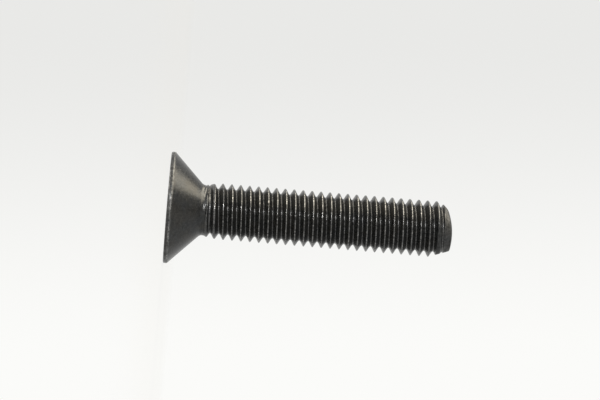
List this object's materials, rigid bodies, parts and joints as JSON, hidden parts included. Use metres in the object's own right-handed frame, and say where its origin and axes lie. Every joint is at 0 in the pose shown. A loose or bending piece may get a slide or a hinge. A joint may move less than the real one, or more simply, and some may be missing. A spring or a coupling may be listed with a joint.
{
  "type": "countersunk socket screw",
  "caption": "Black steel machine screw with a flat countersunk head, a hexagon socket drive and a right-hand thread up to the neck, ending in a tapered tip.",
  "frame": {"origin": "centre of the flat of the head, on the surface that the screw stands on", "axes": "+Z along the shank from the head to the tip; +X through a corner of the hexagon socket; the picture looks along +Y with -X as its upper side"},
  "size_m": [0.0156, 0.0156, 0.04],
  "materials": {
    "black_oxide": "oil-blackened steel with a satin sheen, rubbed paler along the crests and the rim"
  },
  "bodies": {
    "root": {"screw": "black_oxide"}
  },
  "joints": []
}
